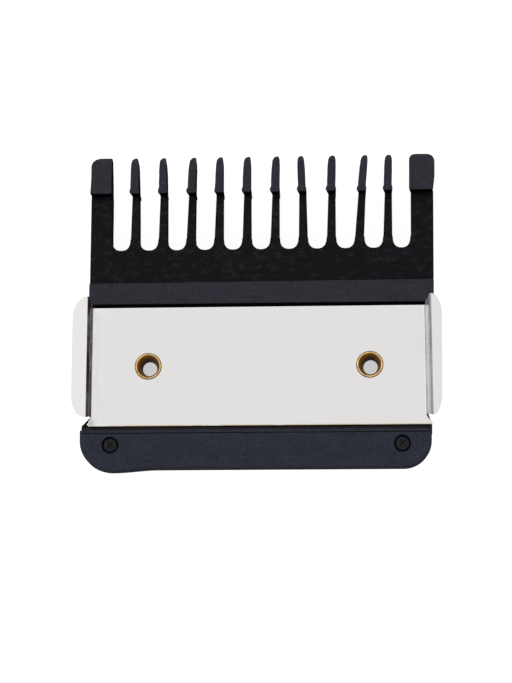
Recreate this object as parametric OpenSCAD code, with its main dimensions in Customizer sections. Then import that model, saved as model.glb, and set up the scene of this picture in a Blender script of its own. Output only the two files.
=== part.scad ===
// Clipper guard comb: a moulded comb, a sheet clip that holds the clipper blade, and a heel bar.
// Origin: centre of the clip plate's upper face, midway between the two hollow rivets.
// +X to the right, +Y towards the tips of the tines, +Z out of the plate towards the blade.

/* [Tines] */
// Centre-to-centre distance of the tines
pitch = 3.94; // [3.85:0.01:4]
// Number of thin tines between the two wide outer ones
thin_tines = 10; // [10]
// Width of a thin tine at its root
root_w = 1.15; // [1.05:0.05:1.25]
// Width of a thin tine just behind its tip block
neck_w = 0.9; // [0.8:0.05:1]
// Width of a thin tine's tip block
block_w = 1.1; // [1.0:0.05:1.2]
// Width over the small barbs at the back of a tip block
barb_w = 1.35; // [1.2:0.05:1.5]
// Nose radius of a thin tine, seen from above
nose_r = 0.35; // [0.3:0.05:0.45]
// Place of the tips along Y
tip_y = 30.1; // [29.9:0.1:30.3]
// Back face of the tip blocks, the front stop of the blade
block_y = 24.6; // [24.4:0.1:24.8]
// Bottom of the rounded slots between the tines
crotch_y = 16.8; // [16.6:0.1:17]
// Depth of the rounded end of a slot
crotch_r = 1.85; // [1.5:0.05:2]
// Top of the tip blocks
block_z = 1.2; // [1:0.1:1.4]
// Height of the very tip of a tine
nose_z = -0.4; // [-0.6:0.1:-0.2]
// Lowest point of the fins on the skin side
fin_z = -4.2; // [-4.5:0.1:-4]
// Place of the fins' lowest point along Y
fin_low_y = 21; // [20:0.5:22]

/* [Body] */
// Half width of the comb at its outer tines
body_half_w = 24.1; // [24:0.05:24.2]
// Inner edge of the outer tines
outer_in_x = 21.08; // [21:0.01:21.15]
// Half width of the body between the clip's walls
waist_half_w = 23.2; // [23.1:0.05:23.25]
// Half width of the shoulders behind the waist
shoulder_half_w = 24.4; // [24.3:0.05:24.5]
// Thickness of the floor under the clip plate
floor_t = 1.6; // [1.5:0.1:1.8]
// Back edge of the raised band in front of the plate
band_back_y = 8.9; // [8.85:0.01:8.95]
// Front edge of the raised band
band_front_y = 12.1; // [12:0.01:12.2]
// Top of the raised band
band_z = -0.05; // [-0.1:0.01:-0.02]
// Top of the crossbar and of the tines' stems
stem_z = -0.75; // [-0.8:0.05:-0.7]
// Front face of the rim behind the plate, the back stop of the blade
rim_y = -9.3; // [-9.4:0.05:-9.2]
// Thickness of the rim
rim_t = 0.38; // [0.35:0.01:0.4]
// Top of the rim
rim_z = 1.15; // [1:0.05:1.2]

/* [Heel bar] */
// Half width of the heel bar
bar_half_w = 24.25; // [24.1:0.05:24.35]
// Front face of the heel bar
bar_front_y = -9.85; // [-9.9:0.01:-9.8]
// Back face of the heel bar
bar_back_y = -14.4; // [-14.5:0.1:-14.2]
// Top of the heel bar
bar_z = 1.3; // [1.2:0.05:1.4]
// Seat of the heel bar on the comb's shelf
shelf_z = -0.9; // [-1:0.05:-0.8]
// Bottom of the shelf
shelf_bottom_z = -2.4; // [-2.5:0.1:-2.3]
// Radius of the two back corners of the bar
bar_corner_r = 4.0; // [3.5:0.1:4.3]
// Distance of a screw from the middle plane
screw_x = 20.05; // [19.9:0.05:20.2]
// Place of the screws along Y
screw_y = -11.45; // [-11.6:0.05:-11.3]

/* [Clip] */
// Thickness of the sheet
sheet_t = 0.5; // [0.45:0.05:0.5]
// Front edge of the clip plate
plate_front_y = 8.41; // [8.35:0.01:8.45]
// Back edge of the clip plate
plate_back_y = -8.55; // [-8.6:0.01:-8.5]
// Half width of the flat plate, where the side bends start
bend_x = 22.95; // [22.9:0.01:23]
// Inner radius of the sheet's bends
bend_r = 0.3; // [0.25:0.05:0.4]
// Outward lean of the side walls in degrees
wall_lean = 5; // [4:0.5:9]
// Height of the side walls, to the top of the wings
wall_h = 4.75; // [4.5:0.05:5]
// Height of the snap bead on the inner face of a wall
bead_h = 1.9; // [1.7:0.1:2.1]
// How far the snap bead stands in from the wall
bead_d = 0.34; // [0.1:0.02:0.36]
// Half width over the wings
wing_half_w = 25.5; // [25.4:0.05:25.6]
// Back end of a side wall at its bend
wall_back_y = -7.6; // [-7.7:0.05:-7.5]
// Back end of a wing
wing_back_y = -8.0; // [-8.2:0.05:-7.9]
// Half width over the ears at the plate's back corners
ear_half_w = 24; // [23.8:0.05:24.1]

/* [Rivets] */
// Centre-to-centre distance of the two hollow rivets
rivet_spacing = 31.1; // [31:0.02:31.12]
// Radius of the bore through a rivet
rivet_bore_r = 1.0; // [0.95:0.05:1.05]
// Outer radius of a rivet's tube
rivet_tube_r = 1.3; // [1.25:0.05:1.3]
// Outer radius of the rolled mouth
rivet_roll_r = 1.85; // [1.8:0.01:1.85]
// Inner radius of the mouth at its top
rivet_mouth_r = 1.5; // [1.4:0.05:1.55]
// Outer radius of the head on the skin side
rivet_head_r = 1.7; // [1.6:0.05:1.7]

/* [Hidden] */
floor_top = -sheet_t;
waist_back_y = wall_back_y;
waist_front_y = plate_front_y + 0.2;
floor_bottom = floor_top - floor_t;
slot_root_w = pitch - root_w;
slot_mouth_w = pitch - neck_w;
fin_back_y = bar_back_y + 0.8;
fin_top = shelf_z - 0.3;
rim_back_y = rim_y - rim_t;
shelf_inset = 0.15;
fit_gap = 0.02;
far = 60;
arc_step = 7.5;

// roll: top of the rolled mouth above the plate; sink: depth of its countersink
roll_top = 0.1;
roll_sink = 0.35;
head_t = 0.25;
pocket_r = rivet_head_r + 0.1;
dimple_r = rivet_roll_r + 0.05;

// screw: a small pan head sunk in a counterbore, and a shank that forms its own thread
head_r = 1.0;
head_top = bar_z - 0.12;
head_seat = 0.45;
counterbore_r = 1.18;
shank_r = 0.5;
shank_end = -2.05;
recess_w = 0.32;
recess_l = 1.3;
recess_d = 0.4;

black = [0.17, 0.17, 0.19];
nickel = [0.88, 0.87, 0.86];
brass = [0.78, 0.6, 0.32];
screw_black = [0.1, 0.1, 0.11];

// ---------- outlines ----------

// points of an elliptical arc from angle a0 to a1
function arc(cx, cy, rx, ry, a0, a1) =
  let (n = ceil(abs(a1 - a0) / arc_step))
  [for (i = [0 : n]) let (a = a0 + (a1 - a0) * i / n) [cx + rx * cos(a), cy + ry * sin(a)]];

// a right-hand outline given from bottom to top, closed by its mirror image
function both_sides(p) = concat(p, [for (i = [len(p) - 1 : -1 : 0]) [-p[i][0], p[i][1]]]);

// side view of a tine as (y, z): straight run of the fin, curved nose, tip block
tine_side = concat(
  [[fin_back_y, fin_top], [fin_back_y, shelf_bottom_z]],
  arc(fin_low_y, nose_z, tip_y - fin_low_y, nose_z - fin_z, -90, 0),
  arc(tip_y - 1.4, nose_z, 1.4, block_z - nose_z, 0, 90),
  [[block_y, block_z], [block_y, fin_top]]
);

// a profile given as (y, z), drawn out along X and centred on x = 0
module along_x(profile, width) {
  translate([-width / 2, 0, 0])
    rotate([90, 0, 90])
      linear_extrude(width) polygon(profile);
}

// a profile given as (x, y), drawn up from z0 to z1
module between_z(profile, z0, z1) {
  translate([0, 0, z0]) linear_extrude(z1 - z0) polygon(profile);
}

module box(x0, x1, y0, y1, z0, z1) {
  translate([x0, y0, z0]) cube([x1 - x0, y1 - y0, z1 - z0]);
}

// ---------- comb ----------

// plan of a thin tine: root, neck, barb, tip block, round nose
thin_plan = both_sides(concat(
  [[root_w / 2, fin_back_y], [root_w / 2, crotch_y + crotch_r], [neck_w / 2, block_y]],
  [[barb_w / 2, block_y], [barb_w / 2, block_y + 0.45], [block_w / 2, block_y + 0.75]],
  arc(0, tip_y - nose_r, nose_r, nose_r, 0, 90)
));

// plan of the right outer tine, waisted where the clip's wall passes it
outer_plan = concat(
  [[outer_in_x, fin_back_y], [waist_half_w - 1, fin_back_y], [waist_half_w, fin_back_y + 1.5]],
  [[waist_half_w, waist_front_y]],
  [[body_half_w, waist_front_y + body_half_w - waist_half_w]],
  arc(body_half_w - 1.5, tip_y - 1.5, 1.5, 1.5, 0, 90),
  arc(outer_in_x + 0.9, tip_y - 0.9, 0.9, 0.9, 90, 180)
);

// plan of the slot between two tines
slot_plan = both_sides(concat(
  arc(0, crotch_y + crotch_r, slot_root_w / 2, crotch_r, -90, 0),
  [[slot_mouth_w / 2, block_y], [slot_mouth_w / 2, far]]
));

// plan of the floor: waist between the walls, 45 degree flares to the front and to the heel
floor_plan = both_sides([
  [shoulder_half_w, rim_back_y], [shoulder_half_w, waist_back_y - shoulder_half_w + waist_half_w],
  [waist_half_w, waist_back_y], [waist_half_w, waist_front_y],
  [body_half_w, waist_front_y + body_half_w - waist_half_w], [body_half_w, band_front_y]
]);

// plan of the heel: straight front, two round back corners
function heel_plan(inset) = both_sides(concat(
  arc(bar_half_w - bar_corner_r, bar_back_y + bar_corner_r,
      bar_corner_r - inset, bar_corner_r - inset, -90, 0),
  [[bar_half_w - inset, bar_front_y]]
));

module at_rivets() {
  for (side = [-1, 1]) translate([side * rivet_spacing / 2, 0, 0]) children();
}

module at_screws() {
  for (side = [-1, 1]) translate([side * screw_x, screw_y, 0]) children();
}

module thin_tine() {
  intersection() {
    along_x(tine_side, barb_w);
    between_z(thin_plan, fin_z, block_z);
  }
}

module outer_tine() {
  intersection() {
    translate([body_half_w / 2, 0, 0]) along_x(tine_side, body_half_w);
    between_z(outer_plan, fin_z, block_z);
  }
}

module crossbar() {
  difference() {
    box(-body_half_w, body_half_w, band_front_y, block_y, floor_bottom, stem_z);
    for (i = [-thin_tines / 2 : thin_tines / 2])
      translate([i * pitch, 0, 0]) between_z(slot_plan, -far, far);
  }
}

module comb_body() {
  color(black)
  difference() {
    union() {
      between_z(floor_plan, floor_bottom, floor_top);
      intersection() {
        between_z(floor_plan, floor_bottom, band_z);
        box(-far, far, band_back_y, band_front_y, -far, far);
      }
      crossbar();
      for (i = [0 : thin_tines - 1])
        translate([(i - (thin_tines - 1) / 2) * pitch, 0, 0]) thin_tine();
      outer_tine();
      mirror([1, 0, 0]) outer_tine();
      box(-body_half_w, body_half_w, rim_back_y, rim_y, shelf_bottom_z, rim_z);
      between_z(heel_plan(shelf_inset), shelf_bottom_z, shelf_z);
      box(-body_half_w, body_half_w, bar_front_y, rim_y, shelf_bottom_z, shelf_z);
    }
    // bores for the hollow rivets, with room for their heads among the fins
    at_rivets() {
      translate([0, 0, -far]) cylinder(h = 2 * far, r = rivet_tube_r + fit_gap, $fn = 64);
      translate([0, 0, floor_bottom - far]) cylinder(h = far, r = pocket_r, $fn = 64);
    }
    // pilot holes for the heel bar's screws
    at_screws()
      translate([0, 0, shank_end - 0.1])
        cylinder(h = far, r = shank_r + fit_gap, $fn = 48);
    // relief under the side bends, so that the walls can spring outwards
    for (side = [-1, 1])
      translate([side * (bend_x + 0.35), 0, 0])
        box(-0.5, 0.5, wall_back_y - 0.1, waist_front_y, floor_top - 0.1, floor_top + 0.01);
  }
}

module heel_bar() {
  color(black)
  difference() {
    between_z(heel_plan(0), shelf_z, bar_z);
    at_screws() {
      translate([0, 0, head_seat]) cylinder(h = far, r = counterbore_r, $fn = 64);
      translate([0, 0, shelf_z - 1]) cylinder(h = far, r = shank_r + 0.1, $fn = 48);
    }
  }
}

// ---------- clip ----------

module clip_plate() {
  color(nickel)
  difference() {
    union() {
      box(-bend_x, bend_x, plate_back_y, plate_front_y, -sheet_t, 0);
      box(-ear_half_w, ear_half_w, plate_back_y, wall_back_y - 0.2, -sheet_t, 0);
    }
    at_rivets() {
      translate([0, 0, -far]) cylinder(h = 2 * far, r = rivet_tube_r + fit_gap, $fn = 64);
      translate([0, 0, -roll_sink])
        cylinder(h = roll_sink + 0.001, r1 = rivet_tube_r + fit_gap, r2 = dimple_r, $fn = 64);
    }
  }
}

// section of the right side as (x, z): lower bend, leaning wall with a snap bead, upper bend, wing
mid_r = bend_r + sheet_t / 2;
wall_dx = tan(wall_lean);
foot = [bend_x + mid_r * cos(wall_lean), bend_r - mid_r * sin(wall_lean)];
top_z = wall_h - sheet_t / 2;
top_x = foot[0] + wall_dx * (top_z - mid_r - foot[1]);
wing_bend = arc(top_x + mid_r * cos(wall_lean), top_z - mid_r, mid_r, mid_r, 180 - wall_lean, 90);
wall_point = function (z, inward) [foot[0] + wall_dx * (z - foot[1]) - inward, z];
side_path = concat(
  arc(bend_x, bend_r, mid_r, mid_r, -90, -wall_lean),
  [wall_point(bead_h - 0.7, 0), wall_point(bead_h - 0.2, bead_d)],
  [wall_point(bead_h + 0.2, bead_d), wall_point(bead_h + 0.7, 0)],
  wing_bend,
  [[wing_half_w, top_z]]
);

// unit normal of the path at point i, to the left of its direction
function path_normal(p, i) =
  let (a = p[max(i - 1, 0)], b = p[min(i + 1, len(p) - 1)], d = b - a)
  [-d[1], d[0]] / norm(d);

// outline of a sheet of thickness t whose middle follows path p
function sheet_outline(p, t) = concat(
  [for (i = [0 : len(p) - 1]) p[i] - path_normal(p, i) * t / 2],
  [for (i = [len(p) - 1 : -1 : 0]) p[i] + path_normal(p, i) * t / 2]
);

// side view of a wall as (y, z): its back end leans back towards the wing
wall_side = [
  [wall_back_y, -1], [plate_front_y, -1], [plate_front_y, wall_h], [wing_back_y, wall_h],
  [wall_back_y, 1]
];

// plan of a wing: outer corners rounded into a long D
wing_run = 2.2;
wing_plan = concat(
  [[bend_x - 1, wing_back_y]],
  arc(wing_half_w - wing_run, wing_back_y + 2.6, wing_run, 2.6, -90, 0),
  arc(wing_half_w - wing_run, plate_front_y - 4.2, wing_run, 4.2, 0, 90),
  [[bend_x - 1, plate_front_y]]
);

module clip_side() {
  intersection() {
    translate([0, far, 0])
      rotate([90, 0, 0])
        linear_extrude(2 * far) polygon(sheet_outline(side_path, sheet_t));
    translate([bend_x + 4, 0, 0]) along_x(wall_side, 8);
    between_z(wing_plan, -1, wall_h + 1);
  }
}

module clip_side_right() {
  color(nickel) clip_side();
}

module clip_side_left() {
  color(nickel) mirror([1, 0, 0]) clip_side();
}

// ---------- fasteners ----------

// section of a hollow rivet as (r, z): head on the skin side, tube, mouth rolled into the plate
rivet_section = [
  [rivet_bore_r, floor_bottom - head_t], [rivet_head_r - 0.1, floor_bottom - head_t],
  [rivet_head_r, floor_bottom - head_t + 0.1], [rivet_head_r, floor_bottom],
  [rivet_tube_r, floor_bottom], [rivet_tube_r, -roll_sink],
  [rivet_roll_r, 0], [rivet_roll_r - 0.1, roll_top], [rivet_mouth_r, roll_top],
  [rivet_bore_r + 0.15, -0.3], [rivet_bore_r, -0.6]
];

module rivet() {
  color(brass) rotate_extrude($fn = 96) polygon(rivet_section);
}

module rivet_left() {
  translate([-rivet_spacing / 2, 0, 0]) rivet();
}

module rivet_right() {
  translate([rivet_spacing / 2, 0, 0]) rivet();
}

module screw() {
  color(screw_black)
  difference() {
    union() {
      translate([0, 0, head_seat]) cylinder(h = head_top - head_seat, r = head_r, $fn = 64);
      translate([0, 0, shank_end]) cylinder(h = head_seat - shank_end, r = shank_r, $fn = 48);
    }
    for (turn = [0, 90])
      rotate([0, 0, turn])
        box(-recess_l / 2, recess_l / 2, -recess_w / 2, recess_w / 2, head_top - recess_d, head_top + 1);
  }
}

module screw_left() {
  translate([-screw_x, screw_y, 0]) screw();
}

module screw_right() {
  translate([screw_x, screw_y, 0]) screw();
}

comb_body();
heel_bar();
clip_plate();
clip_side_left();
clip_side_right();
rivet_left();
rivet_right();
screw_left();
screw_right();
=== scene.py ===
"""Clipper guard comb: the visible model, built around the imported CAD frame."""
import math
import random

import bmesh
import bpy
from mathutils import Matrix, Vector


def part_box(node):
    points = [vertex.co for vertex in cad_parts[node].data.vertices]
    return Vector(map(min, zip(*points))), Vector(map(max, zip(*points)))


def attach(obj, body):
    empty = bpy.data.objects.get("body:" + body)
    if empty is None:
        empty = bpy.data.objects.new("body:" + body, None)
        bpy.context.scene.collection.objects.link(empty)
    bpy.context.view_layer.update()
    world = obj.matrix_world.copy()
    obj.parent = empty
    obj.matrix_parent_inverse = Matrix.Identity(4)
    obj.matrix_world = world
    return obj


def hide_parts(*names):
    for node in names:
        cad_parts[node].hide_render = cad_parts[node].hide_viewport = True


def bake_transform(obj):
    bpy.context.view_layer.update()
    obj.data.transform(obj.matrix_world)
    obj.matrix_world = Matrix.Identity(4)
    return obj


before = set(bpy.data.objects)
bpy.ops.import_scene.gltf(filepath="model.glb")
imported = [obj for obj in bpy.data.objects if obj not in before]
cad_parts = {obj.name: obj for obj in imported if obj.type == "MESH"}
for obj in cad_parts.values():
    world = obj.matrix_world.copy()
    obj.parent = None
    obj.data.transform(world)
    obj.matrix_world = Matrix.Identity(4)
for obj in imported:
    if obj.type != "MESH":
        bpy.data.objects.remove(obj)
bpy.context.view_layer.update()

MM = 0.001


# ---------------------------------------------------------------- sizes, all in millimetres

def corner_mm(node):
    """The lowest and highest corner of a CAD node, in millimetres."""
    low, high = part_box(node)
    return low / MM, high / MM


COMB_LOW, COMB_HIGH = corner_mm("comb_body")
BAR_LOW, BAR_HIGH = corner_mm("heel_bar")
PLATE_LOW, PLATE_HIGH = corner_mm("clip_plate")
SIDE_LOW, SIDE_HIGH = corner_mm("clip_side_right")
RIVET_LOW, RIVET_HIGH = corner_mm("rivet_right")
SCREW_LOW, SCREW_HIGH = corner_mm("screw_right")

# comb, seen from above
PITCH = 3.96
THIN_TINES = 10
MIDDLE_X = 0.06
ROOT_W = 1.24
NECK_W = 1.0
OUTER_IN_X = 21.08
LEFT_FRONT_W = 24.1
RIGHT_FRONT_W = 24.26
WAIST_HALF_W = 23.2
WAIST_FRONT_Y = 8.61
STEP_IN = 0.28
STEP_BACK_Y = WAIST_FRONT_Y + 0.85
STEP_FRONT_Y = WAIST_FRONT_Y + 1.1
SHOULDER_Y = -8.3
SHOULDER_HALF_W = COMB_HIGH.x + 0.03
CROTCH_Y = 16.8
CROTCH_R = 1.5
BLOCK_Y = 24.6
TIP_Y = COMB_HIGH.y
BAND_BACK_Y = 8.9
BAND_FRONT_Y = 12.1
BAND_SKEW = 0.17  # how much further back the band's front edge lies at its left end

# comb, heights
SHEET_T = -PLATE_LOW.z
FLOOR_TOP = -SHEET_T
FLOOR_T = 1.6
FLOOR_BOTTOM = FLOOR_TOP - FLOOR_T
STEM_Z = -0.75
BAND_Z = -0.05
BLOCK_Z = 1.2
NOSE_Z = -0.4
FIN_LOW_Y = 21.0
FIN_LOW_Z = COMB_LOW.z
SHELF_BOTTOM = -2.4
SHELF_TOP = BAR_LOW.z
FIN_BACK_Y = BAR_LOW.y + 0.8
RIM_FRONT_Y = -9.2
RIM_BACK_Y = -9.62
BAR_FRONT_Y = -9.67
RIM_Z = 1.15
FIN_TOP_Z = -1.35

# the bar was screwed on a little to the left of the comb's middle
HEEL_SHIFT = -0.47
SCREW_SHIFT = -0.33

# marks that ejector pins left in the slab
DISC_R = 1.5
DISC_Y = 14.6
DISC_DEPTH = 0.04
DISC_TINES = (0, 3, 6, 9)

# clip: the two sides differ a little; the left wall leans in and its wing is broad
WALL_H = SIDE_HIGH.z
WING_HALF_W = SIDE_HIGH.x
WING_FRONT_Y = PLATE_HIGH.y + 0.65
BEAD_H = 1.9
SIDE_T = 0.36
FOOT_R = 0.3
CREST_R = 0.2
SEAM_X = SIDE_LOW.x - 0.6
WALL_BACK_Y = -7.1


class Side:
    """Shape of one sprung side: where it bends up, how far it leans out, how its wing is rounded."""

    def __init__(self, bend_x, lean, bead, toe_in, wing_x, wing_run, front_round, back_round):
        self.bend_x = bend_x
        self.lean = math.radians(lean)
        self.bead = bead
        self.toe_in = toe_in
        self.wing_x = wing_x
        self.wing_run = wing_run
        self.front_round = front_round
        self.back_round = back_round


SIDES = {
    "left": Side(
        bend_x=23.35, lean=-3.4, bead=0.08, toe_in=0.0,
        wing_x=WING_HALF_W + 0.15, wing_run=2.1, front_round=3.3, back_round=3.0),
    "right": Side(
        bend_x=23.0, lean=9.4, bead=0.12, toe_in=0.017,
        wing_x=WING_HALF_W + 0.03, wing_run=1.45, front_round=3.2, back_round=3.4),
}

# fasteners; taken together, the two rivets sit a little left of the comb's middle
RIVET_X = (RIVET_LOW.x + RIVET_HIGH.x) / 2 - 0.09
RIVET_SHIFT = -0.09
ROLL_R = (RIVET_HIGH.x - RIVET_LOW.x) / 2
LIP_R = ROLL_R - 0.06
BORE_R = 1.0
TUBE_R = 1.42
SCREW_X = (SCREW_LOW.x + SCREW_HIGH.x) / 2 + 0.2
SCREW_Y = (SCREW_LOW.y + SCREW_HIGH.y) / 2 + 0.15
HEAD_R = (SCREW_HIGH.x - SCREW_LOW.x) / 2
SCREW_SEAT_Z = 0.45
WELL_R = 1.18

# how far a cutter reaches to pass right through the part
THROUGH = 20

# each thin tine's lean at its tip, from left to right: moulded tines never stay quite straight
TINE_LEANS = (0.04, 0.13, 0.36, 0.2, 0.08, 0.18, -0.25, 0.14, 0.88, 0.18)


# ---------------------------------------------------------------- mesh helpers

def arc(cx, cy, rx, ry, start, end, steps):
    """Points of an elliptical arc, angles in degrees."""
    points = []
    for i in range(steps + 1):
        a = math.radians(start + (end - start) * i / steps)
        points.append((cx + rx * math.cos(a), cy + ry * math.sin(a)))
    return points


def inset(outline, distance):
    """A counter-clockwise outline with every edge moved inwards by the distance."""
    moved = []
    count = len(outline)
    for i, (x, y) in enumerate(outline):
        before = Vector((x - outline[i - 1][0], y - outline[i - 1][1])).normalized()
        after = Vector((outline[(i + 1) % count][0] - x, outline[(i + 1) % count][1] - y)).normalized()
        n1 = Vector((-before.y, before.x))
        n2 = Vector((-after.y, after.x))
        mitre = (n1 + n2) / max(1 + n1.dot(n2), 0.3)
        moved.append((x + mitre.x * distance, y + mitre.y * distance))
    return moved


def loft(name, rings, closed_ends=True):
    """A solid through rings of points in millimetres, each ring with the same number of points."""
    bm = bmesh.new()
    loops = [[bm.verts.new(point) for point in ring] for ring in rings]
    count = len(loops[0])
    for low, high in zip(loops, loops[1:]):
        for i in range(count):
            j = (i + 1) % count
            bm.faces.new((low[i], low[j], high[j], high[i]))
    if closed_ends:
        bm.faces.new(list(reversed(loops[0])))
        bm.faces.new(loops[-1])
    bmesh.ops.recalc_face_normals(bm, faces=bm.faces[:])
    mesh = bpy.data.meshes.new(name)
    bm.to_mesh(mesh)
    bm.free()
    piece = bpy.data.objects.new(name, mesh)
    bpy.context.scene.collection.objects.link(piece)
    return piece


def plan_solid(name, outline, profile):
    """A solid with a plan outline; profile lists (inset, z) pairs from bottom to top."""
    rings = []
    for distance, z in profile:
        rings.append([(x, y, z) for x, y in inset(outline, distance)])
    return loft(name, rings)


def rounded(z_low, z_high, r_low, r_high, steps=4):
    """An (inset, z) profile with a rounded lower and upper edge."""
    profile = []
    for i in range(steps + 1):
        a = math.radians(90 * i / steps)
        profile.append((r_low * (1 - math.sin(a)), z_low + r_low * (1 - math.cos(a))))
    for i in range(steps + 1):
        a = math.radians(90 * i / steps)
        profile.append((r_high * (1 - math.cos(a)), z_high - r_high * (1 - math.sin(a))))
    return profile


def revolve(name, profile, steps=96):
    """A ring or a shaft from a closed (r, z) profile turned about Z."""
    rings = []
    for i in range(steps):
        a = 2 * math.pi * i / steps
        rings.append([(r * math.cos(a), r * math.sin(a), z) for r, z in profile])
    rings.append(rings[0])
    piece = loft(name, rings, closed_ends=False)
    weld(piece)
    return piece


def cylinder(name, r, low, high, steps=64):
    """An upright cylinder between two heights."""
    return revolve(name, [(0, low), (r, low), (r, high), (0, high)], steps)


def weld(piece):
    """Joins doubled corners and turns every face outwards."""
    bm = bmesh.new()
    bm.from_mesh(piece.data)
    bmesh.ops.remove_doubles(bm, verts=bm.verts[:], dist=1e-4)
    bmesh.ops.recalc_face_normals(bm, faces=bm.faces[:])
    bm.to_mesh(piece.data)
    bm.free()


def bake(piece):
    """Replaces the mesh with what its modifiers make of it."""
    graph = bpy.context.evaluated_depsgraph_get()
    mesh = bpy.data.meshes.new_from_object(piece.evaluated_get(graph))
    piece.modifiers.clear()
    piece.data = mesh


def combine(piece, tool, operation):
    """Adds the tool to the piece, or cuts it out, and removes the tool."""
    modifier = piece.modifiers.new("combine", "BOOLEAN")
    modifier.operation = operation
    modifier.object = tool
    modifier.solver = "EXACT"
    bpy.context.view_layer.update()
    bake(piece)
    bpy.data.objects.remove(tool)


def moved(piece, offset):
    """Shifts a mesh by an offset in millimetres."""
    piece.data.transform(Matrix.Translation(offset))
    return piece


def same(piece, name):
    """The piece itself, under a new name: the partner of mirrored in loops over both sides."""
    piece.name = name
    return piece


def mirrored(piece, name):
    """Moves a piece to the other side of the plane x = 0."""
    piece.name = name
    piece.data.transform(Matrix.Scale(-1, 4, (1, 0, 0)))
    piece.data.flip_normals()
    return piece


def finish_mesh(piece, smooth_angle=32):
    """Scales a mesh to metres and sets smooth shading with crisp edges."""
    piece.data.transform(Matrix.Scale(MM, 4))
    for polygon in piece.data.polygons:
        polygon.use_smooth = True
    piece.data.set_sharp_from_angle(angle=math.radians(smooth_angle))
    modifier = piece.modifiers.new("normals", "WEIGHTED_NORMAL")
    modifier.keep_sharp = True
    return piece


# ---------------------------------------------------------------- comb body

def squarish_arc(cx, cy, rx, ry, steps):
    """The lower half of a rounded box outline, from its right end to its left end."""
    power = 2 / 2.4
    points = []
    for i in range(steps + 1):
        a = math.pi * i / steps
        across = math.copysign(abs(math.cos(a)) ** power, math.cos(a))
        points.append((cx + rx * across, cy - ry * math.sin(a) ** power))
    return points


def slot_edges(left, right):
    """One slot of the plan; left and right give its walls' x at the crotch and at the blocks."""
    ledge = 0.08
    top = BLOCK_Y + 0.3
    crotch_top = CROTCH_Y + CROTCH_R
    centre = (left[0] + right[0]) / 2
    half = (right[0] - left[0]) / 2
    edges = [(right[1], top), (right[0], crotch_top + 0.35), (right[0] - ledge * 0.4, crotch_top + 0.1)]
    edges += squarish_arc(centre, crotch_top, half - ledge, CROTCH_R, 22)
    edges += [(left[0] + ledge * 0.4, crotch_top + 0.1), (left[0], crotch_top + 0.35), (left[1], top)]
    return edges


def tine_x(index):
    """Middle line of a thin tine, counted from the left."""
    return MIDDLE_X + (index - (THIN_TINES - 1) / 2) * PITCH


def comb_edge(front_half_w, shoulder_half_w):
    """One side of the slab's plan, as on the right, from the heel to the outer tine's block."""
    step_x = front_half_w - STEP_IN
    return [
        (shoulder_half_w, RIM_BACK_Y), (shoulder_half_w, SHOULDER_Y),
        (WAIST_HALF_W + 0.15, SHOULDER_Y + 1.6),
        (WAIST_HALF_W, SHOULDER_Y + 1.8), (WAIST_HALF_W, PLATE_HIGH.y),
        (step_x - 0.1, PLATE_HIGH.y), (step_x, WAIST_FRONT_Y + 0.5), (step_x, STEP_BACK_Y),
        (front_half_w, STEP_FRONT_Y), (front_half_w, BLOCK_Y + 0.3),
    ]


def comb_outline():
    """Plan of the comb's slab, counter-clockwise, from the heel round the right side and the slots."""
    walls = [(-OUTER_IN_X, -OUTER_IN_X)]
    for i in range(THIN_TINES):
        walls.append((tine_x(i) - ROOT_W / 2, tine_x(i) - NECK_W / 2))
        walls.append((tine_x(i) + ROOT_W / 2, tine_x(i) + NECK_W / 2))
    walls.append((OUTER_IN_X, OUTER_IN_X))
    slots = []
    for i in range(THIN_TINES, -1, -1):
        slots += slot_edges(walls[2 * i], walls[2 * i + 1])
    right = comb_edge(RIGHT_FRONT_W, SHOULDER_HALF_W + HEEL_SHIFT)
    left = [(-x, y) for x, y in reversed(comb_edge(LEFT_FRONT_W, SHOULDER_HALF_W - HEEL_SHIFT))]
    return right + slots + left


def tine_bottom(y):
    """Height of a fin's lower edge at a place along Y."""
    if y <= FIN_LOW_Y:
        share = (y - FIN_BACK_Y) / (FIN_LOW_Y - FIN_BACK_Y)
        return SHELF_BOTTOM + (FIN_LOW_Z - SHELF_BOTTOM) * share
    share = min((y - FIN_LOW_Y) / (TIP_Y - FIN_LOW_Y), 1)
    return NOSE_Z - (NOSE_Z - FIN_LOW_Z) * math.sqrt(1 - share * share)


def tine_top(y):
    """Height of a tip block's upper edge at a place along Y."""
    nose = 1.4
    share = max(0.0, min((y - (TIP_Y - nose)) / nose, 1))
    return NOSE_Z + (BLOCK_Z - NOSE_Z) * math.sqrt(1 - share * share)


def section(y, x_left, x_right, z_low, z_top, r_low, r_top):
    """A cross-section of a tine in the XZ plane: a box with rounded corners, narrower at the bottom."""
    width = x_right - x_left
    height = z_top - z_low
    draft = min(0.06 * height, width * 0.24)
    r_low = min(r_low, width * 0.45 - draft, height * 0.45)
    r_top = min(r_top, width * 0.45, height * 0.45)
    points = []
    corners = (
        (x_right - r_top, z_top - r_top, r_top, 0), (x_left + r_top, z_top - r_top, r_top, 90),
        (x_left + draft + r_low, z_low + r_low, r_low, 180),
        (x_right - draft - r_low, z_low + r_low, r_low, 270),
    )
    for cx, cz, r, start in corners:
        for px, pz in arc(cx, cz, r, r, start, start + 90, 5):
            points.append((px, y, pz))
    return points


def fin(name, x_left, x_right):
    """The part of a tine under the slab, from the heel to inside the tip block."""
    rings = []
    ys = [FIN_BACK_Y + (BLOCK_Y + 0.4 - FIN_BACK_Y) * i / 24 for i in range(25)]
    for y in ys:
        neck = max(0.0, (y - CROTCH_Y - CROTCH_R) / (BLOCK_Y - CROTCH_Y - CROTCH_R))
        pinch = (ROOT_W - NECK_W) / 2 * min(neck, 1) + 0.03
        top = FIN_TOP_Z if y > RIM_FRONT_Y else FIN_TOP_Z - 0.25
        rings.append(section(y, x_left + pinch, x_right - pinch, tine_bottom(y), top, 0.3, 0.02))
    return loft(name, rings)


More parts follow.
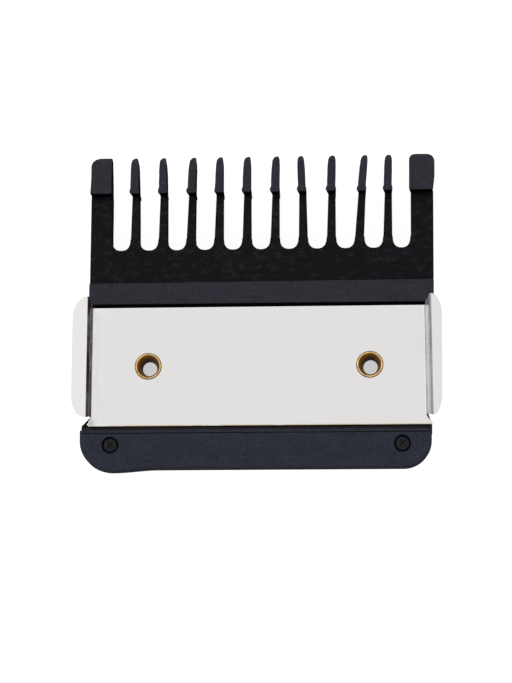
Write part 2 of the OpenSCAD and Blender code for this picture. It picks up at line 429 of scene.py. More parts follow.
def thin_block(name, x, rng):
    """The raised tip of a thin tine: barbs at its back, nearly straight flanks, a pointed nose."""
    length = TIP_Y - BLOCK_Y
    left_barb = rng.uniform(0.6, 1.1) * 0.17
    right_barb = rng.uniform(0.6, 1.1) * 0.17
    girth = rng.uniform(0.95, 1.06)
    nose_side = rng.uniform(-0.08, 0.08)
    stations = (
        # share of the length, half width, share of the barbs, drop of the top
        (0.000, 0.50, 0.0, 0.10), (0.012, 0.54, 0.5, 0.02), (0.030, 0.55, 0.9, 0.0),
        (0.055, 0.55, 1.0, 0.0), (0.090, 0.55, 0.8, 0.0), (0.125, 0.55, 0.2, 0.0),
        (0.160, 0.55, 0.0, 0.0), (0.300, 0.56, 0.0, 0.0), (0.450, 0.56, 0.0, 0.0),
        (0.600, 0.55, 0.0, 0.0), (0.740, 0.53, 0.0, 0.02), (0.800, 0.51, 0.0, 0.06),
        (0.850, 0.48, 0.0, 0.10), (0.895, 0.42, 0.0, 0.16), (0.935, 0.34, 0.0, 0.22),
        (0.965, 0.26, 0.0, 0.26), (0.985, 0.18, 0.0, 0.28), (1.000, 0.07, 0.0, 0.25),
    )
    rings = []
    for share, half, barb, drop in stations:
        y = BLOCK_Y + share * length
        centre = x + nose_side * share * share
        top = max(tine_top(y) - drop, NOSE_Z + 0.08)
        low = min(tine_bottom(y), top - 0.16)
        left = centre - half * girth * rng.uniform(0.97, 1.03) - left_barb * barb
        right = centre + half * girth * rng.uniform(0.97, 1.03) + right_barb * barb
        rings.append(section(y, left, right, low, top, 0.3, 0.08))
    return loft(name, rings)


def outer_block(name, x_in, x_out, bulge, r_in, r_out):
    """The raised tip of the right outer tine; bulge is how far its outer side swells out."""
    ys = [BLOCK_Y, BLOCK_Y + 0.04, BLOCK_Y + 0.15]
    ys += [BLOCK_Y + 0.5 + i * 0.6 for i in range(6)]
    run = TIP_Y - BLOCK_Y - 3.9
    ys += [BLOCK_Y + 3.9 + run * math.sin(math.radians(90 * i / 12)) for i in range(13)]
    rings = []
    for i, y in enumerate(ys):
        ease = (0.12, 0.04, 0.0)[min(i, 2)]
        swell = bulge * math.sin(math.pi / 2 * min((y - BLOCK_Y) / 2.5, 1))
        left = x_in + ease + corner_cut(y, r_in)
        right = x_out + swell - ease - corner_cut(y, r_out)
        top = max(tine_top(y) - ease * 0.7, NOSE_Z + 0.08)
        low = min(tine_bottom(y), top - 0.16)
        rings.append(section(y, left, right, low, top, 0.3, 0.2))
    return loft(name, rings)


def corner_cut(y, r):
    """How far a rounded plan corner of radius r has come in at a place along Y."""
    over = y - (TIP_Y - r)
    if over <= 0:
        return 0.0
    return r - math.sqrt(max(r * r - over * over, 0.0))


def strip_outline(half_w, front_y):
    """Plan of a plain strip from the rim forwards."""
    return [(-half_w, RIM_BACK_Y), (half_w, RIM_BACK_Y), (half_w, front_y), (-half_w, front_y)]


def add_floor(body):
    """The floor under the clip, and the seat that the plate lies on."""
    front = BAND_BACK_Y + 0.3
    floor = strip_outline(WAIST_HALF_W - 0.2, front)
    combine(body, plan_solid("floor", floor, [(0, FLOOR_BOTTOM + 0.3), (0, FLOOR_TOP - 0.1)]), "UNION")
    seat = strip_outline(SEAM_X, front)
    combine(body, plan_solid("seat", seat, [(0, FLOOR_BOTTOM + 0.4), (0, FLOOR_TOP - 0.01)]), "UNION")


def add_band(body):
    """The raised band in front of the clip."""
    outline = [
        (STEP_IN - LEFT_FRONT_W, BAND_BACK_Y), (RIGHT_FRONT_W - STEP_IN, BAND_BACK_Y),
        (RIGHT_FRONT_W - STEP_IN, STEP_BACK_Y), (RIGHT_FRONT_W, STEP_FRONT_Y),
        (RIGHT_FRONT_W, BAND_FRONT_Y), (-LEFT_FRONT_W, BAND_FRONT_Y - BAND_SKEW),
        (-LEFT_FRONT_W, STEP_FRONT_Y), (STEP_IN - LEFT_FRONT_W, STEP_BACK_Y),
    ]
    combine(body, plan_solid("band", outline, rounded(-1.4, BAND_Z, 0.02, 0.16)), "UNION")


def add_heel(body):
    """The rim behind the clip, and the shelf that carries the heel bar."""
    left = HEEL_SHIFT - SHOULDER_HALF_W + 0.05
    right = HEEL_SHIFT + SHOULDER_HALF_W - 0.05
    rim = [(left, RIM_BACK_Y), (right, RIM_BACK_Y), (right, RIM_FRONT_Y), (left, RIM_FRONT_Y)]
    combine(body, plan_solid("rim", rim, rounded(-1.9, RIM_Z, 0.02, 0.08)), "UNION")
    shelf = heel_outline(0.15, RIM_FRONT_Y - 0.1)
    combine(body, plan_solid("shelf", shelf, rounded(SHELF_BOTTOM, SHELF_TOP, 0.35, 0.02)), "UNION")


def add_tines(body):
    """The fins under the slab and the raised tip blocks, thin tines first."""
    rng = random.Random(11)
    for i in range(THIN_TINES):
        combine(body, fin("fin", tine_x(i) - ROOT_W / 2, tine_x(i) + ROOT_W / 2), "UNION")
        combine(body, thin_block("block", tine_x(i), rng), "UNION")
    right_block = outer_block("block", OUTER_IN_X - 0.16, RIGHT_FRONT_W, 0.24, 1.1, 1.5)
    left_block = outer_block("block", OUTER_IN_X - 0.1, LEFT_FRONT_W - 0.04, -0.12, 0.4, 1.6)
    outer = ((same, right_block, RIGHT_FRONT_W), (mirrored, left_block, LEFT_FRONT_W))
    for side_of, block, front_w in outer:
        combine(body, side_of(outer_fin(), "outer_fin"), "UNION")
        combine(body, side_of(fin_cheek(front_w), "cheek"), "UNION")
        combine(body, side_of(block, "outer_block"), "UNION")


def rivet_place(side):
    """Where a rivet stands; side is 1 on the right and -1 on the left."""
    return side * RIVET_X + RIVET_SHIFT, 0, 0


def drill_comb(body):
    """The rivets' bores and pockets, the screws' pilot holes, the ejector marks."""
    for side in (-1, 1):
        bore = cylinder("bore", TUBE_R + 0.02, -THROUGH, THROUGH)
        combine(body, moved(bore, rivet_place(side)), "DIFFERENCE")
        pocket = cylinder("pocket", 1.8, -THROUGH, FLOOR_BOTTOM)
        combine(body, moved(pocket, rivet_place(side)), "DIFFERENCE")
        pilot = cylinder("pilot", 0.52, -2.15, THROUGH, 48)
        combine(body, moved(pilot, screw_place(side)), "DIFFERENCE")
    low = STEM_Z - DISC_DEPTH
    high = STEM_Z + 1
    for index in DISC_TINES:
        disc = revolve("disc", [(0, low), (DISC_R - 0.05, low), (DISC_R, high), (0, high)], 64)
        combine(body, moved(disc, (tine_x(index), DISC_Y, 0)), "DIFFERENCE")


def build_comb():
    """The one black moulding: slab, floor, band, heel, tines."""
    flank = [(0.06, FLOOR_BOTTOM), (0.0, STEM_Z - 0.1), (0.03, STEM_Z - 0.03), (0.1, STEM_Z)]
    body = plan_solid("comb_body_shell", comb_outline(), flank)
    add_floor(body)
    add_band(body)
    add_heel(body)
    add_tines(body)
    drill_comb(body)
    bend_tines(body)
    return body


def outer_fin():
    """The right outer tine's wall under the slab, its back corner cut to stay inside the heel's round."""
    piece = fin("fin", OUTER_IN_X - 0.03, WAIST_HALF_W + 0.03)
    wedge = [
        (WAIST_HALF_W - 1.7, FIN_BACK_Y - 2), (WAIST_HALF_W + 2, FIN_BACK_Y - 2),
        (WAIST_HALF_W + 2, FIN_BACK_Y + 1.8), (WAIST_HALF_W + 0.3, FIN_BACK_Y + 1.8),
        (WAIST_HALF_W - 1.7, FIN_BACK_Y - 0.4),
    ]
    combine(piece, plan_solid("wedge", wedge, [(0, -THROUGH), (0, THROUGH)]), "DIFFERENCE")
    return piece


def fin_cheek(front_half_w):
    """The right outer tine's wall in front of the waist, as wide as the comb's front."""
    rings = []
    back = WAIST_FRONT_Y + 1.15
    front = BLOCK_Y + 0.4
    for i in range(17):
        y = back + (front - back) * i / 16
        rings.append(section(y, OUTER_IN_X + 0.03, front_half_w - 0.03, tine_bottom(y), FIN_TOP_Z, 0.3, 0.02))
    return loft("cheek", rings)


def bend_tines(body):
    """Leans each thin tine sideways by a growing amount towards its tip."""
    for vertex in body.data.vertices:
        reach = (vertex.co.y - CROTCH_Y - CROTCH_R) / (TIP_Y - CROTCH_Y - CROTCH_R)
        index = round((vertex.co.x - tine_x(0)) / PITCH)
        if reach > 0 and 0 <= index < THIN_TINES:
            vertex.co.x += TINE_LEANS[index] * reach ** 1.6


# ---------------------------------------------------------------- heel bar

def heel_outline(gap, front_y):
    """Plan of the heel: straight front, two large round back corners, the left one fuller."""
    half = BAR_HIGH.x + 0.12
    back = BAR_LOW.y - 0.14
    full_back = back - 0.38
    right_r = 3.9
    left_r = 4.3
    outline = arc(half - right_r, back + right_r, right_r - gap, right_r - gap, -90, 0, 14)
    outline += [(half - gap, front_y), (gap - half, front_y)]
    outline += arc(left_r - half, full_back + left_r, left_r - gap, left_r - gap, 180, 270, 14)
    for i in range(1, 9):
        ease = (1 - math.cos(math.pi * i / 8)) / 2
        outline.append((left_r - half + 6.5 * i / 8, full_back + (back - full_back) * ease + gap))
    return [(x + HEEL_SHIFT, y) for x, y in outline]


def screw_place(side):
    """Where a screw stands; side is 1 on the right and -1 on the left."""
    return side * SCREW_X + SCREW_SHIFT, SCREW_Y, 0


def build_bar():
    """The bar across the heel, with a well and a hole for each screw."""
    edges = rounded(BAR_LOW.z, BAR_HIGH.z, 0.12, 0.24, 6)
    bar = plan_solid("heel_bar_shell", heel_outline(0, BAR_FRONT_Y), edges)
    mouth_r = WELL_R + 0.1
    for side in (-1, 1):
        well = revolve("well", [
            (0, SCREW_SEAT_Z), (WELL_R, SCREW_SEAT_Z), (WELL_R, BAR_HIGH.z - 0.08),
            (mouth_r, BAR_HIGH.z + 0.02), (mouth_r, THROUGH), (0, THROUGH)], 64)
        combine(bar, moved(well, screw_place(side)), "DIFFERENCE")
        hole = cylinder("hole", 0.6, -THROUGH, THROUGH, 48)
        combine(bar, moved(hole, screw_place(side)), "DIFFERENCE")
    return bar


# ---------------------------------------------------------------- clip

def plate_edge(side):
    """Half of the plate's outline from back to front, on the right: flared ear, then the bend line."""
    ear_x = PLATE_HIGH.x
    tuck = 0.1
    back = WALL_BACK_Y - 0.1
    front = PLATE_HIGH.y - 0.04
    ear_y = PLATE_LOW.y + 0.08
    return [
        (ear_x - 0.2, ear_y), (ear_x + 0.05, ear_y + 0.25), (ear_x - 0.12, ear_y + 0.5),
        (side.bend_x + tuck + 0.3 - side.toe_in * back, back - 0.45),
        (side.bend_x + tuck - side.toe_in * back, back), (side.bend_x + tuck - side.toe_in * front, front),
    ]


def build_plate():
    """The flat of the clip, with dimpled holes for the rivets."""
    left = [(-x, y) for x, y in reversed(plate_edge(SIDES["left"]))]
    outline = plate_edge(SIDES["right"]) + left
    edge = 0.08
    plate = plan_solid("clip_flat", outline, [
        (0, PLATE_LOW.z), (0, PLATE_LOW.z + 0.01), (0, -edge), (edge * 0.3, -edge * 0.3), (edge, 0)])
    dimple_r = LIP_R + 0.08
    for side in (-1, 1):
        hole = revolve("hole", [
            (0, -THROUGH), (TUBE_R + 0.02, -THROUGH), (TUBE_R + 0.02, -0.4), (dimple_r, -0.3),
            (dimple_r, -0.03), (dimple_r + 0.04, 0.01), (dimple_r + 0.04, THROUGH), (0, THROUGH)], 96)
        combine(plate, moved(hole, rivet_place(side)), "DIFFERENCE")
    return plate


def side_path(side):
    """Middle line of a right side in (x, z): flat, bend, wall with its bead, bend, wing."""
    lean = math.degrees(side.lean)
    foot_x = side.bend_x + FOOT_R * math.cos(side.lean)
    foot_z = FOOT_R - SIDE_T / 2 - FOOT_R * math.sin(side.lean)
    slope = math.tan(side.lean)
    top_z = WALL_H - SIDE_T / 2
    top_x = foot_x + slope * (top_z - CREST_R - foot_z)

    flat = side.bend_x - SEAM_X
    path = [(SEAM_X + flat * share, -SIDE_T / 2 - 0.03) for share in (0, 0.3, 0.6)]
    path += arc(side.bend_x, FOOT_R - SIDE_T / 2, FOOT_R, FOOT_R, -90, -lean, 12)
    steps = 16
    z_end = top_z - CREST_R - 0.1
    for i in range(1, steps + 1):
        z = foot_z + (z_end - foot_z) * i / steps
        bead = side.bead * math.exp(-((z - BEAD_H) / 0.45) ** 2)
        path.append((foot_x + slope * (z - foot_z) - bead, z))
    crest_x = top_x + CREST_R * math.cos(side.lean)
    path += arc(crest_x, top_z - CREST_R, CREST_R, CREST_R, 180 - lean, 90, 12)
    run = side.wing_x - 0.02 - crest_x
    for i in range(1, 17):
        path.append((crest_x + run * math.sin(math.radians(90 * i / 16)), top_z))
    return path


def wing_ends(side, x, z):
    """Back and front end of the side sheet along Y at a place on its middle line."""
    lift = max(0.0, min((z - 1) / (WALL_H - 1), 1))
    back = WALL_BACK_Y + (SIDE_LOW.y - WALL_BACK_Y) * lift
    front = PLATE_HIGH.y + (WING_FRONT_Y - PLATE_HIGH.y) * lift
    over = max(0.0, min((x - (side.wing_x - side.wing_run)) / side.wing_run, 1))
    if z > WALL_H * 0.75:
        curve = 1 - math.sqrt(max(1 - over * over, 0))
        back += side.back_round * curve
        front -= side.front_round * curve
    return back, front


def sheet_ring(point, normal, thin, back, front, toe_in):
    """One closed ring round the sheet at a place on its path; it runs the sheet's length along Y."""
    x, z = point
    edge_r = 0.09
    across = 26
    ys = [back + edge_r + (front - back - 2 * edge_r) * j / across for j in range(across + 1)]
    offsets = [(thin, y) for y in ys]
    offsets += [(thin - edge_r, front), (edge_r - thin, front)]
    offsets += [(-thin, y) for y in reversed(ys)]
    offsets += [(edge_r - thin, back), (thin - edge_r, back)]
    return [(x + normal.x * out - toe_in * y, y, z + normal.y * out) for out, y in offsets]


def build_side(name, side):
    """One sprung side as a closed sheet; toe_in turns its wall a little about the vertical."""
    path = side_path(side)
    last = len(path) - 1
    rings = []
    for i, point in enumerate(path):
        before = path[max(i - 1, 0)]
        after = path[min(i + 1, last)]
        along = Vector((after[0] - before[0], after[1] - before[1])).normalized()
        back, front = wing_ends(side, *point)
        thin = SIDE_T / 2 if i < last else SIDE_T / 2 - 0.09
        rise = min(1.0, max(0.0, (point[0] - SEAM_X) / (side.bend_x - SEAM_X)))
        fade = min(1.0, side.wing_x - point[0])
        normal = Vector((-along.y, along.x))
        rings.append(sheet_ring(point, normal, thin, back, front, side.toe_in * rise * fade))
    return loft(name, rings)


# ---------------------------------------------------------------- fasteners

def build_rivet(name):
    """A hollow rivet: head on the skin side, tube, trumpet mouth rolled over the plate."""
    bottom = RIVET_LOW.z
    top = RIVET_HIGH.z
    head = 1.75
    crest_r = 0.11
    profile = [(BORE_R + 0.12, bottom), (head - 0.1, bottom)]
    profile += arc(head - 0.1, bottom + 0.1, 0.1, 0.1, -90, 0, 4)[1:]
    profile += [(head, FLOOR_BOTTOM - 0.01), (TUBE_R, FLOOR_BOTTOM - 0.01), (TUBE_R, -0.38)]
    profile += [(LIP_R - 0.03, -0.28), (LIP_R, -0.22)]
    profile += arc(LIP_R - crest_r, top - crest_r, crest_r, crest_r, 0, 150, 10)
    profile += [(1.53, -0.06), (1.46, -0.2), (1.36, -0.45), (1.26, -0.8), (1.18, -1.2), (1.08, -1.8)]
    profile += [(BORE_R, -2.3), (BORE_R, bottom + 0.12)]
    return revolve(name, profile)


def build_screw(name):
    """A small pan-head screw: domed head, cross recess, a thread on its shank."""
    top = SCREW_HIGH.z
    seat = SCREW_SEAT_Z
    head = [(0, seat), (HEAD_R - 0.05, seat), (HEAD_R, seat + 0.05), (HEAD_R, top - 0.3)]
    head += arc(HEAD_R - 0.28, top - 0.3, 0.28, 0.26, 10, 80, 6)
    head += [(0.35, top - 0.005), (0, top)]
    screw = revolve(name, head)
    reach = 0.62
    half = 0.13
    cross_arm = [(-reach, -half), (reach, -half), (reach, half), (-reach, half)]
    for turn in (45, 135):
        arm = plan_solid("arm", cross_arm, [(0.06, top - 0.3), (0, top + 0.3)])
        arm.data.transform(Matrix.Rotation(math.radians(turn), 4, "Z"))
        combine(screw, arm, "DIFFERENCE")
    combine(screw, threaded_shank(seat + 0.05), "UNION")
    return screw


def threaded_shank(top):
    """A tapping thread: its crest climbs one pitch a turn and stays inside the shank's radius."""
    bottom = SCREW_LOW.z
    crest = 0.5
    depth = 0.1
    pitch = 0.35
    rows = 70
    around = 32
    rings = []
    for i in range(rows + 1):
        z = bottom + (top - bottom) * i / rows
        tip = min(1.0, 0.35 + (z - bottom) / 0.6)
        ring = []
        for j in range(around):
            phase = (z / pitch - j / around) % 1.0
            ridge = max(0.0, 1 - abs(phase - 0.5) * 3.2)
            r = (crest - depth * (1 - ridge)) * tip
            a = 2 * math.pi * j / around
            ring.append((r * math.cos(a), r * math.sin(a), z))
        rings.append(ring)
    return loft("shank", rings)


# ---------------------------------------------------------------- materials

class Nodes:
    """Short calls for building a node material."""

    def __init__(self, name):
        self.material = bpy.data.materials.new(name)
        self.material.use_nodes = True
        self.tree = self.material.node_tree
        self.tree.nodes.clear()
        self.output = self.tree.nodes.new("ShaderNodeOutputMaterial")
        self.shader = self.tree.nodes.new("ShaderNodeBsdfPrincipled")
        self.tree.links.new(self.shader.outputs[0], self.output.inputs[0])
        self.coordinates = self.tree.nodes.new("ShaderNodeTexCoord").outputs["Object"]

    def link(self, value, socket):
        if isinstance(value, bpy.types.NodeSocket):
            self.tree.links.new(value, socket)
        else:
            socket.default_value = value

    def set(self, name, value):
        self.link(value, self.shader.inputs[name])

    def stretched(self, scale, turn=0.0):
        """Object coordinates in millimetres, stretched by a scale for each axis."""
        node = self.tree.nodes.new("ShaderNodeMapping")
        node.inputs["Scale"].default_value = [s / MM for s in scale]
        node.inputs["Rotation"].default_value = (0, 0, math.radians(turn))
        self.link(self.coordinates, node.inputs["Vector"])
        return node.outputs[0]

    def noise(self, scale, detail=2.0, roughness=0.5, turn=0.0):
        node = self.tree.nodes.new("ShaderNodeTexNoise")
        node.inputs["Scale"].default_value = 1.0
        node.inputs["Detail"].default_value = detail
        node.inputs["Roughness"].default_value = roughness
        self.link(self.stretched(scale, turn), node.inputs["Vector"])
        return node.outputs["Fac"]

    def ramp(self, value, low, high, from_value=0.0, to_value=1.0):
        """Maps value from low..high to from_value..to_value, smoothly and clamped."""
        node = self.tree.nodes.new("ShaderNodeMapRange")
        node.interpolation_type = "SMOOTHSTEP"
        node.inputs["From Min"].default_value = low
        node.inputs["From Max"].default_value = high
        node.inputs["To Min"].default_value = from_value
        node.inputs["To Max"].default_value = to_value
        self.link(value, node.inputs["Value"])
        return node.outputs[0]

    def math(self, operation, a, b=0.0):
        node = self.tree.nodes.new("ShaderNodeMath")
        node.operation = operation
        self.link(a, node.inputs[0])
        self.link(b, node.inputs[1])
        return node.outputs[0]

    def scaled(self, colour, factor):
        """A colour made lighter or darker by a factor."""
        node = self.tree.nodes.new("ShaderNodeVectorMath")
        node.operation = "SCALE"
        self.link(colour, node.inputs[0])
        self.link(factor, node.inputs["Scale"])
        return node.outputs[0]

    def mix(self, factor, a, b):
        node = self.tree.nodes.new("ShaderNodeMix")
        node.data_type = "RGBA"
        self.link(factor, node.inputs["Factor"])
        self.link(a, node.inputs[6])
        self.link(b, node.inputs[7])
        return node.outputs[2]

    def place(self):
        """The object coordinates in millimetres, as three separate values."""
        node = self.tree.nodes.new("ShaderNodeSeparateXYZ")
        self.link(self.stretched((1, 1, 1)), node.inputs[0])
        return node.outputs

    def seen_by_camera(self):
        """One where the camera looks straight at the surface, none in reflections and bounced light."""
        return self.tree.nodes.new("ShaderNodeLightPath").outputs["Is Camera Ray"]

    def normal(self):
        """The surface's direction, as three separate values."""
        node = self.tree.nodes.new("ShaderNodeSeparateXYZ")
        self.link(self.tree.nodes.new("ShaderNodeNewGeometry").outputs["Normal"], node.inputs[0])
        return node.outputs

    def bump(self, *layers):
        """Stacks (height, depth in millimetres) layers into the shader's normal."""
        normal = None
        for height, depth in layers:
            node = self.tree.nodes.new("ShaderNodeBump")
            node.inputs["Strength"].default_value = 1.0
            node.inputs["Distance"].default_value = depth * MM
            self.link(height, node.inputs["Height"])
            if normal is not None:
                self.link(normal, node.inputs["Normal"])
            normal = node.outputs[0]
        self.set("Normal", normal)


# the heights between which the comb's glossier lower level, darkened with painted dark reflection, gives way
# to its raised parts
LEVEL = (-0.62, -0.45)


def plastic(name, sunk, raised):
    """Black moulded nylon: darker on the glossier lower level as painted dark reflection; darkest in the
    slots and under the plate, and darker on steep faces, as painted shade.
    """
    n = Nodes(name)
    y, z = n.place()[1:]
    upright = n.ramp(n.math("ABSOLUTE", n.normal()[2]), 0.25, 0.6, 1.0, 0.0)
    slot = n.math("MULTIPLY", upright, n.ramp(y, CROTCH_Y - 0.6, CROTCH_Y))
    under_plate = n.math("MULTIPLY", n.ramp(z, -0.4, -0.3, 1.0, 0.0), n.ramp(z, -0.7, -0.65))
    behind_band = n.ramp(y, BAND_BACK_Y - 0.02, BAND_BACK_Y + 0.02, 1.0, 0.0)
    rear_gap = n.ramp(y, PLATE_LOW.y, PLATE_LOW.y + 0.1, 1.0, 0.0)
    under_plate = n.math("MULTIPLY", under_plate, n.math("SUBTRACT", behind_band, rear_gap))
    # painted shade: steep faces in the slots and the low floor under the plate are made near-black below
    painted_shade = n.math("MAXIMUM", slot, under_plate)
    patches = n.noise((0.35, 0.6, 0.5), 4, 0.65)
    grain = n.noise((2.4, 2.4, 2.4), 3, 0.7)
    fine = n.noise((9, 9, 9), 3, 0.7)
    # painted dark reflection: the glossier lower level takes the darker sunk colour; the strip behind the
    # plate keeps the raised colour
    base = n.mix(n.math("MAXIMUM", n.ramp(z, *LEVEL), rear_gap), sunk, raised)
    shade = n.math("ADD", n.ramp(grain, 0.25, 0.75, -0.3, 0.3), n.ramp(patches, 0.3, 0.7, 0.85, 1.15))
    tone = n.scaled(base, shade)
    scratches = n.ramp(n.noise((0.25, 16, 4), 3, 0.8, 2.0), 0.62, 0.78)
    specks = n.ramp(n.noise((4, 4, 4), 1, 0.5), 0.72, 0.78)
    scuffs = n.ramp(n.noise((0.8, 1.3, 1), 4, 0.75), 0.48, 0.72)
    scuffs = n.math("MULTIPLY", scuffs, n.ramp(z, *LEVEL, 0.22, 0.05))
    marks = n.math("MAXIMUM", n.math("MULTIPLY", scratches, 0.25), n.math("MULTIPLY", specks, 0.4))
    tone = n.mix(n.math("MAXIMUM", marks, scuffs), tone, (0.05, 0.05, 0.058, 1))
    # painted shade: steep faces are darkened, and the slot flanks and the floor under the plate turn
    # near-black
    tone = n.scaled(tone, n.ramp(upright, 0.0, 1.0, 1.0, 0.6))
    n.set("Base Color", n.mix(painted_shade, tone, (0.0015, 0.0015, 0.002, 1)))
    polish = n.ramp(patches, 0.3, 0.7, -0.06, 0.08)
    n.set("Roughness", n.math("ADD", n.ramp(z, *LEVEL, 0.4, 0.58), polish))
    dulled = n.math("MAXIMUM", painted_shade, n.math("MULTIPLY", upright, 0.7))
    n.set("IOR", n.ramp(dulled, 0.0, 1.0, 1.5, 1.02))
    n.set("Specular IOR Level", n.ramp(z, *LEVEL, 0.07, 0.12))
    n.bump((fine, 0.012), (scratches, -0.006), (patches, 0.03))
    return n.material


def nickel(name):
    """Bright nickel-plated sheet: faint rolling lines and scratches, a painted warm reflection along the back
    edge, walls darkened by painted shade.
    """
    n = Nodes(name)
    x, y, z = n.place()
    rolling = n.noise((0.12, 22, 5), 3, 0.65)
    scratches = n.ramp(n.noise((0.35, 9, 3), 4, 0.8, 11.0), 0.68, 0.76)
    smudge = n.noise((0.22, 0.22, 0.22), 4, 0.6)
    tint = n.mix(n.ramp(smudge, 0.35, 0.7), (0.80, 0.79, 0.79, 1), (0.785, 0.77, 0.765, 1))
    tint = n.mix(n.math("MULTIPLY", scratches, 0.2), tint, (0.62, 0.61, 0.60, 1))
    # painted reflection: a warm brownish line, in patches, along the plate's back edge
    reflection_patches = n.ramp(n.noise((0.4, 1, 1), 2), 0.3, 0.55)
    painted_edge_reflection = n.math("MULTIPLY", n.ramp(y, -8.4, -8.25, 0.85, 0.0), reflection_patches)
    tint = n.mix(painted_edge_reflection, tint, (0.62, 0.48, 0.27, 1))

    # painted reflection: the plate mirrors the left wall, so its metal is painted a little brighter beside it
    painted_brightening = n.ramp(x, -23.3, -20.0, 1.07, 1.0)
    tint = n.scaled(tint, painted_brightening)

    # painted shade, seen by the camera alone: the walls' inner faces and front ends go dark and lose their
    # metal, fully on the left, in part on the right and most at its foot and crest
    right = n.math("SIGN", x)
    across, along = n.normal()[:2]
    facing_in = n.ramp(n.math("MULTIPLY", n.math("MULTIPLY", across, right), -1.0), 0.03, 0.2)
    facing_in = n.math("MULTIPLY", facing_in, n.ramp(z, 0.0, 0.04))
    out = n.math("ABSOLUTE", x)
    wall = n.math("MULTIPLY", n.ramp(out, 22.75, 22.85), n.ramp(out, 23.7, 23.9, 1.0, 0.0))
    facing_on = n.ramp(n.math("MULTIPLY", along, wall), 0.3, 0.6)
    inner = n.math("MAXIMUM", facing_in, facing_on)
    foot_and_crest = n.math("MAXIMUM", n.ramp(z, 1.1, 1.5, 1.0, 0.0), n.ramp(z, 3.6, 4.0))
    foot_and_crest = n.math("MAXIMUM", n.math("MULTIPLY", foot_and_crest, 0.72), 0.52)
    wall_shade_strength = n.math("MAXIMUM", n.ramp(right, -0.5, 0.5, 1.0, 0.0), foot_and_crest)
    painted_wall_shade = n.math("MULTIPLY", n.math("MULTIPLY", inner, wall_shade_strength), n.ramp(smudge, 0.3, 0.6, 0.9, 1.0))
    painted_wall_shade = n.math("MULTIPLY", painted_wall_shade, n.seen_by_camera())
    n.set("Base Color", n.mix(painted_wall_shade, tint, (0.020, 0.013, 0.012, 1)))
    n.set("Metallic", n.math("SUBTRACT", 1.0, painted_wall_shade))
    n.set("IOR", n.ramp(painted_wall_shade, 0.0, 1.0, 1.5, 1.02))
    n.set("Roughness", n.math("ADD", 0.2, n.ramp(smudge, 0.3, 0.7, -0.03, 0.06)))
    n.bump((rolling, 0.001), (scratches, -0.0015))
    return n.material


def brass(name):
    """Turned brass: a bright lip, brown tarnish inside the mouth and the bore, darkened down them with
    painted shade.
    """
    n = Nodes(name)
    z = n.place()[2]
    blotch = n.noise((1.6, 1.6, 1.6), 4, 0.6)
    rings = n.noise((2, 2, 30), 2, 0.5)
    clean = n.mix(n.ramp(blotch, 0.35, 0.65), (0.86, 0.60, 0.26, 1), (0.62, 0.36, 0.14, 1))
    # brown tarnish inside the mouth, with painted shade: the brown grows darker down the mouth and the bore
    tarnish_and_shade = n.ramp(z, -0.12, 0.05, 1.0, 0.0)
    tarnish_brown_and_shade = n.mix(n.ramp(z, -1.3, -0.1), (0.035, 0.012, 0.004, 1), (0.16, 0.062, 0.004, 1))
    tarnish_brown_and_shade = n.mix(n.ramp(blotch, 0.4, 0.7, 0.0, 0.5), tarnish_brown_and_shade, (0.22, 0.10, 0.012, 1))
    n.set("Base Color", n.mix(tarnish_and_shade, clean, tarnish_brown_and_shade))
    n.set("Metallic", n.ramp(tarnish_and_shade, 0.0, 1.0, 1.0, 0.0))
    n.set("IOR", 1.1)
    n.set("Roughness", n.ramp(blotch, 0.3, 0.7, 0.22, 0.42))
    n.bump((rings, 0.006), (blotch, 0.01))
    return n.material


def black_steel(name):
    """Blackened steel, rubbed a little lighter in blotches."""
    n = Nodes(name)
    blotch = n.noise((2.5, 2.5, 2.5), 4, 0.6)
    black = (0.004, 0.004, 0.005, 1)
    rubbed = (0.011, 0.011, 0.014, 1)
    n.set("Base Color", n.mix(n.ramp(blotch, 0.4, 0.7), black, rubbed))
    n.set("Specular IOR Level", 0.2)
    n.set("Metallic", 0.1)
    n.set("Roughness", n.ramp(blotch, 0.3, 0.7, 0.3, 0.5))
    n.bump((blotch, 0.02), (n.noise((14, 14, 14), 2), 0.004))
    return n.material


def floor_paper(name):
    """Pale studio paper that glows softly for the camera, with a painted shadow where the glow is weaker
    under the middle of the comb.
    """
    n = Nodes(name)
    x, y = n.place()[:2]
    grain = n.noise((3, 3, 3), 3, 0.6)
    # painted shadow: the paper's glow drops under the middle of the comb
    between_sides = n.ramp(n.math("ABSOLUTE", x), 17.0, 25.0, 1.0, 0.0)
    under = n.math("MULTIPLY", between_sides, n.ramp(y, 4.0, 12.0, 1.0, 0.0))
    under = n.math("MULTIPLY", under, n.ramp(y, -12.0, -6.0))
    n.set("Base Color", n.mix(grain, (0.30, 0.30, 0.30, 1), (0.32, 0.32, 0.32, 1)))
    n.set("Roughness", 0.9)
    n.set("Emission Color", (1, 1, 1, 1))
    glow = n.ramp(under, 0.0, 1.0, 0.9, 0.55)
    n.set("Emission Strength", n.math("MULTIPLY", glow, n.ramp(n.seen_by_camera(), 0.0, 1.0, 0.45, 1.0)))
    n.bump((grain, 0.01))
    return n.material


# ---------------------------------------------------------------- assembly

def dress(piece, material):
    """Gives a piece its material."""
    piece.data.materials.clear()
    piece.data.materials.append(material)


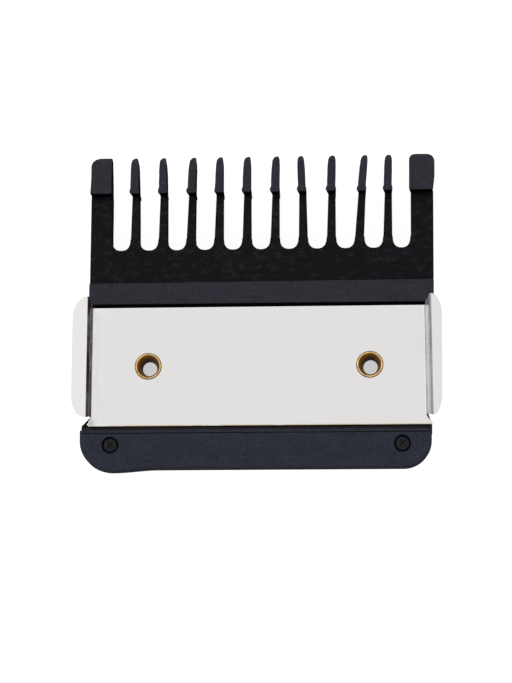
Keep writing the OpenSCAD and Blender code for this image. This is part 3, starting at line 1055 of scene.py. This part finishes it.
def assemble():
    """Builds every piece in place of its CAD node, and puts all but the clip's sides on the comb's body."""
    comb_black = plastic("comb_plastic", (0.003, 0.003, 0.0045, 1), (0.0185, 0.0185, 0.0265, 1))
    blue_black = (0.017, 0.019, 0.0295, 1)
    bar_black = plastic("heel_plastic", blue_black, blue_black)
    sheet = nickel("nickel_sheet")
    yellow = brass("rivet_brass")
    dark_steel = black_steel("screw_black")

    comb = finish_mesh(build_comb())
    dress(comb, comb_black)
    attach(comb, "comb")
    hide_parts("comb_body")

    bar = finish_mesh(build_bar())
    dress(bar, bar_black)
    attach(bar, "comb")
    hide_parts("heel_bar")

    plate = finish_mesh(build_plate())
    dress(plate, sheet)
    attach(plate, "comb")
    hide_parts("clip_plate")

    for direction, side_of, side in ((1, same, "right"), (-1, mirrored, "left")):
        piece = side_of(build_side("clip_wing", SIDES[side]), "clip_wing_" + side)
        finish_mesh(piece, 40)
        dress(piece, sheet)
        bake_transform(piece)
        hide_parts("clip_side_" + side)

    for direction, side in ((1, "right"), (-1, "left")):
        rivet = moved(build_rivet("hollow_rivet_" + side), rivet_place(direction))
        finish_mesh(rivet, 40)
        dress(rivet, yellow)
        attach(rivet, "comb")
        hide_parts("rivet_" + side)
        screw = moved(build_screw("cross_screw_" + side), screw_place(direction))
        finish_mesh(screw)
        dress(screw, dark_steel)
        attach(screw, "comb")
        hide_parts("screw_" + side)


# ---------------------------------------------------------------- stage, light, camera

def plane(name, centre, size, material):
    """A square of the stage, in metres."""
    half = size / 2
    bm = bmesh.new()
    corners = [(-half, -half), (half, -half), (half, half), (-half, half)]
    bm.faces.new([bm.verts.new((centre[0] + x, centre[1] + y, centre[2])) for x, y in corners])
    mesh = bpy.data.meshes.new(name)
    bm.to_mesh(mesh)
    bm.free()
    sheet = bpy.data.objects.new(name, mesh)
    bpy.context.scene.collection.objects.link(sheet)
    sheet.data.materials.append(material)
    return sheet


def area_light(name, place, target, size, radiance):
    """A rectangular lamp; places and sizes in millimetres, radiance relative to the surroundings."""
    data = bpy.data.lights.new(name, "AREA")
    data.shape = "RECTANGLE"
    data.size = size[0] * MM
    data.size_y = size[1] * MM
    data.energy = radiance * math.pi * data.size * data.size_y
    lamp = bpy.data.objects.new(name, data)
    lamp.location = Vector(place) * MM
    lamp.rotation_euler = (Vector(place) - Vector(target)).to_track_quat("Z", "Y").to_euler()
    bpy.context.scene.collection.objects.link(lamp)
    return lamp


def build_stage():
    """Pale floor just under the fins, an even white surrounding and two softboxes."""
    plane("floor", (0, 0, FIN_LOW_Z * MM - 0.0001), 3.0, floor_paper("floor_paper"))
    world = bpy.data.worlds.new("studio")
    world.use_nodes = True
    background = world.node_tree.nodes["Background"]
    background.inputs["Color"].default_value = (1, 1, 1, 1)
    background.inputs["Strength"].default_value = 0.94
    bpy.context.scene.world = world
    area_light("left_softbox", (-330, 180, 330), (0, 5, 0), (300, 300), 1.3)
    area_light("right_softbox", (340, 60, 300), (0, 5, 0), (260, 260), 0.9)


def build_camera():
    """Camera above the blade side, tilted a little towards the heel and to the right."""
    target = Vector((-0.48, 3.38, 0.0))
    distance = 400.0
    view_width = 71.32
    toward_heel = math.radians(11.47)
    toward_right = math.radians(5.0)
    direction = Vector((math.tan(toward_right), -math.tan(toward_heel), 1)).normalized()
    data = bpy.data.cameras.new("camera")
    data.sensor_fit = "HORIZONTAL"
    data.sensor_width = 36.0
    data.lens = data.sensor_width * distance / view_width
    camera = bpy.data.objects.new("camera", data)
    roll = math.radians(-0.42)
    up = Vector((math.sin(roll), math.cos(roll), 0))
    right = up.cross(direction).normalized()
    rotation = Matrix((right, direction.cross(right), direction)).transposed()
    camera.matrix_world = Matrix.Translation((target + direction * distance) * MM) @ rotation.to_4x4()
    bpy.context.scene.collection.objects.link(camera)
    bpy.context.scene.camera = camera
    bpy.context.scene.view_settings.view_transform = "Standard"


assemble()
build_stage()
build_camera()
